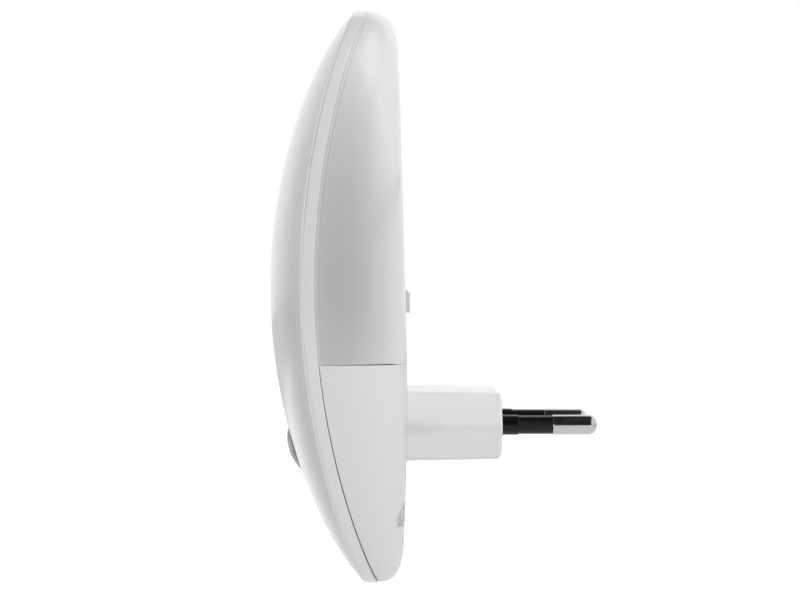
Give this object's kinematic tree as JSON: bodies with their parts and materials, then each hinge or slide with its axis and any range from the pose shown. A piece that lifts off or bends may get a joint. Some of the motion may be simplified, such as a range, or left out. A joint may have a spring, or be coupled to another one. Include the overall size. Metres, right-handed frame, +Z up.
{
  "type": "plug in night light",
  "caption": "Oval plug-in night light: domed front cover with twilight sensor, translucent upper rear shell, slide switch and a flat two-pin plug body with part-sleeved pins.",
  "frame": {"origin": "centre of the plug face, midway between the two pins", "axes": "+Y along the pins into the wall socket, +Z up, +X to the right as seen from the room; the lamp's front faces -Y"},
  "size_m": [0.054, 0.0662, 0.118],
  "materials": {
    "white_cover": "smooth satin gloss white",
    "milky_diffuser": "milky translucent, satin gloss",
    "white_housing": "smooth satin white",
    "plug_white": "moulded white, satin",
    "plated_metal": "nickel plated, turned",
    "black_sleeve": "black moulded sleeve, slight gloss",
    "brass": "stamped strip",
    "board_green": "green solder mask",
    "led_yellow": "white case with phosphor window",
    "chip_black": "moulded epoxy",
    "film_ochre": "moulded box",
    "can_blue": "shrink film on aluminium can",
    "fuse_beige": "cement coat",
    "lens_grey": "smoked translucent dome, satin",
    "shroud_black": "moulded matt",
    "cell_red": "lacquered ceramic disc",
    "knob_white": "moulded, satin",
    "screw_steel": "zinc plated"
  },
  "bodies": {
    "lamp": {"front_cover": "white_cover", "diffuser": "milky_diffuser", "rear_housing": "white_housing", "plug_body": "plug_white", "pin_left": "plated_metal", "pin_right": "plated_metal", "pin_sleeve_left": "black_sleeve", "pin_sleeve_right": "black_sleeve", "contact_strip_left": "brass", "contact_strip_right": "brass", "circuit_board": "board_green", "leds": "led_yellow", "driver_chip": "chip_black", "chip_resistors": "chip_black", "film_capacitor": "film_ochre", "smoothing_capacitor": "can_blue", "bridge_rectifier": "chip_black", "fuse_resistor": "fuse_beige", "sensor_lens": "lens_grey", "sensor_shroud": "shroud_black", "photocell": "cell_red", "switch_case": "plated_metal", "housing_screws": "screw_steel"},
    "switch": {"switch_lever": "shroud_black", "switch_knob": "knob_white"}
  },
  "joints": [
    {"name": "switch_slide", "type": "slide", "parent": "lamp", "child": "switch", "axis": [0, 0, 1], "range_m": [0, 0.0025]}
  ]
}
